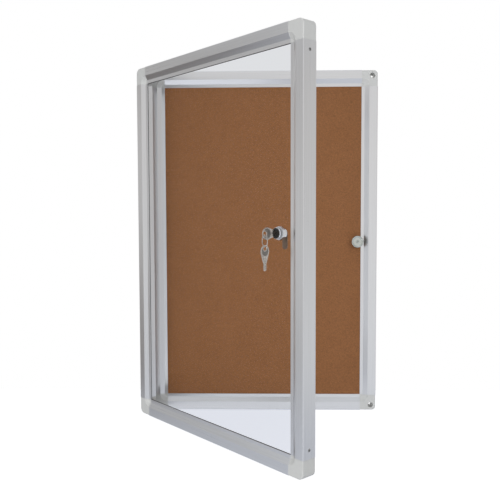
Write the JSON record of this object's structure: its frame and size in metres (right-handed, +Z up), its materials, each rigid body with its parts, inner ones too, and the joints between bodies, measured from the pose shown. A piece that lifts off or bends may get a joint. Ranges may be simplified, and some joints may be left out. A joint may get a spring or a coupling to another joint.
{
  "type": "lockable notice board",
  "caption": "Wall-mounted lockable notice board: cork panel in a deep aluminium frame, side-hinged glazed door, cam lock through the pane with a key on a ring.",
  "frame": {"origin": "centre of the pattern of wall fixing holes, on the frame's rear plane, which lies against the wall", "axes": "X to the right of a person facing the board, +Y into the wall, +Z up; the door's hinges are on the -X side"},
  "size_m": [0.6263, 0.4876, 0.9],
  "materials": {
    "anodised_aluminium": "satin anodised extrusion with fine lengthwise lines",
    "corner_moulding": "light grey moulded corner, fine satin",
    "glazing_gasket": "dark extruded glazing channel",
    "hinge_steel": "brushed stainless hinge",
    "screw_steel": "zinc plated screws",
    "cork": "fine-grained cork, matt",
    "fibreboard": "raw fibreboard backing",
    "keeper_chrome": "polished keeper with a dished face",
    "pane_glass": "clear glazing with a faint cool tint",
    "lock_black": "blackened lock body",
    "washer_rubber": "black washer against the pane",
    "lock_chrome": "bright chrome",
    "cam_steel": "dull plated steel",
    "key_nickel": "nickel plated key, worn",
    "ring_steel": "bright spring steel wire"
  },
  "bodies": {
    "frame": {"frame_left_stile": "anodised_aluminium", "frame_top_rail": "anodised_aluminium", "frame_right_stile": "anodised_aluminium", "frame_bottom_rail": "anodised_aluminium", "frame_corner_bottom_left": "corner_moulding", "frame_corner_top_left": "corner_moulding", "frame_corner_top_right": "corner_moulding", "frame_corner_bottom_right": "corner_moulding", "frame_corner_screws": "screw_steel", "cork_sheet": "cork", "backing_board": "fibreboard", "keeper": "keeper_chrome", "keeper_screw": "screw_steel", "hinge_frame_leaves": "hinge_steel", "hinge_pins": "hinge_steel", "hinge_frame_screws": "screw_steel"},
    "door": {"door_left_stile": "anodised_aluminium", "door_top_rail": "anodised_aluminium", "door_right_stile": "anodised_aluminium", "door_bottom_rail": "anodised_aluminium", "door_corner_bottom_left": "corner_moulding", "door_corner_top_left": "corner_moulding", "door_corner_top_right": "corner_moulding", "door_corner_bottom_right": "corner_moulding", "door_corner_screws": "screw_steel", "pane": "pane_glass", "gasket_left": "glazing_gasket", "gasket_top": "glazing_gasket", "gasket_right": "glazing_gasket", "gasket_bottom": "glazing_gasket", "hinge_door_leaves": "hinge_steel", "hinge_door_screws": "screw_steel", "lock_barrel": "lock_black", "lock_front_washer": "washer_rubber", "lock_rear_washer": "lock_chrome", "lock_nut": "lock_chrome"},
    "lock": {"lock_plug": "lock_chrome", "lock_stop_plate": "cam_steel", "lock_cam": "cam_steel", "cam_screw": "screw_steel"},
    "key": {"key": "key_nickel"},
    "key_ring": {"key_ring": "ring_steel"},
    "spare_key": {"spare_key": "key_nickel"}
  },
  "joints": [
    {"name": "door_hinge", "type": "hinge", "parent": "frame", "child": "door", "pos_m": [-0.303, -0.0205, 0], "axis": [0, 0, -1], "range_deg": [-47.4, 72.6]},
    {"name": "lock_turn", "type": "hinge", "parent": "door", "child": "lock", "pos_m": [0.02352, -0.42804, 0.0375], "axis": [-0.7361, -0.6769, 0], "range_deg": [0, 45]},
    {"name": "key_pull", "type": "slide", "parent": "lock", "child": "key", "axis": [-0.7361, -0.6769, 0], "range_m": [0, 0.03]},
    {"name": "ring_hang", "type": "hinge", "parent": "key", "child": "key_ring", "pos_m": [0.00475, -0.4453, 0.03515], "axis": [-0.7361, -0.6769, 0], "range_deg": [-45, 0]},
    {"name": "spare_swing", "type": "hinge", "parent": "key_ring", "child": "spare_key", "pos_m": [0.00475, -0.4453, 0.01115], "axis": [-0.7727, 0.6347, 0], "range_deg": [-30, 90]}
  ],
  "couplings": [
    {"joint": "ring_hang", "follows": "lock_turn", "ratio": -1}
  ]
}
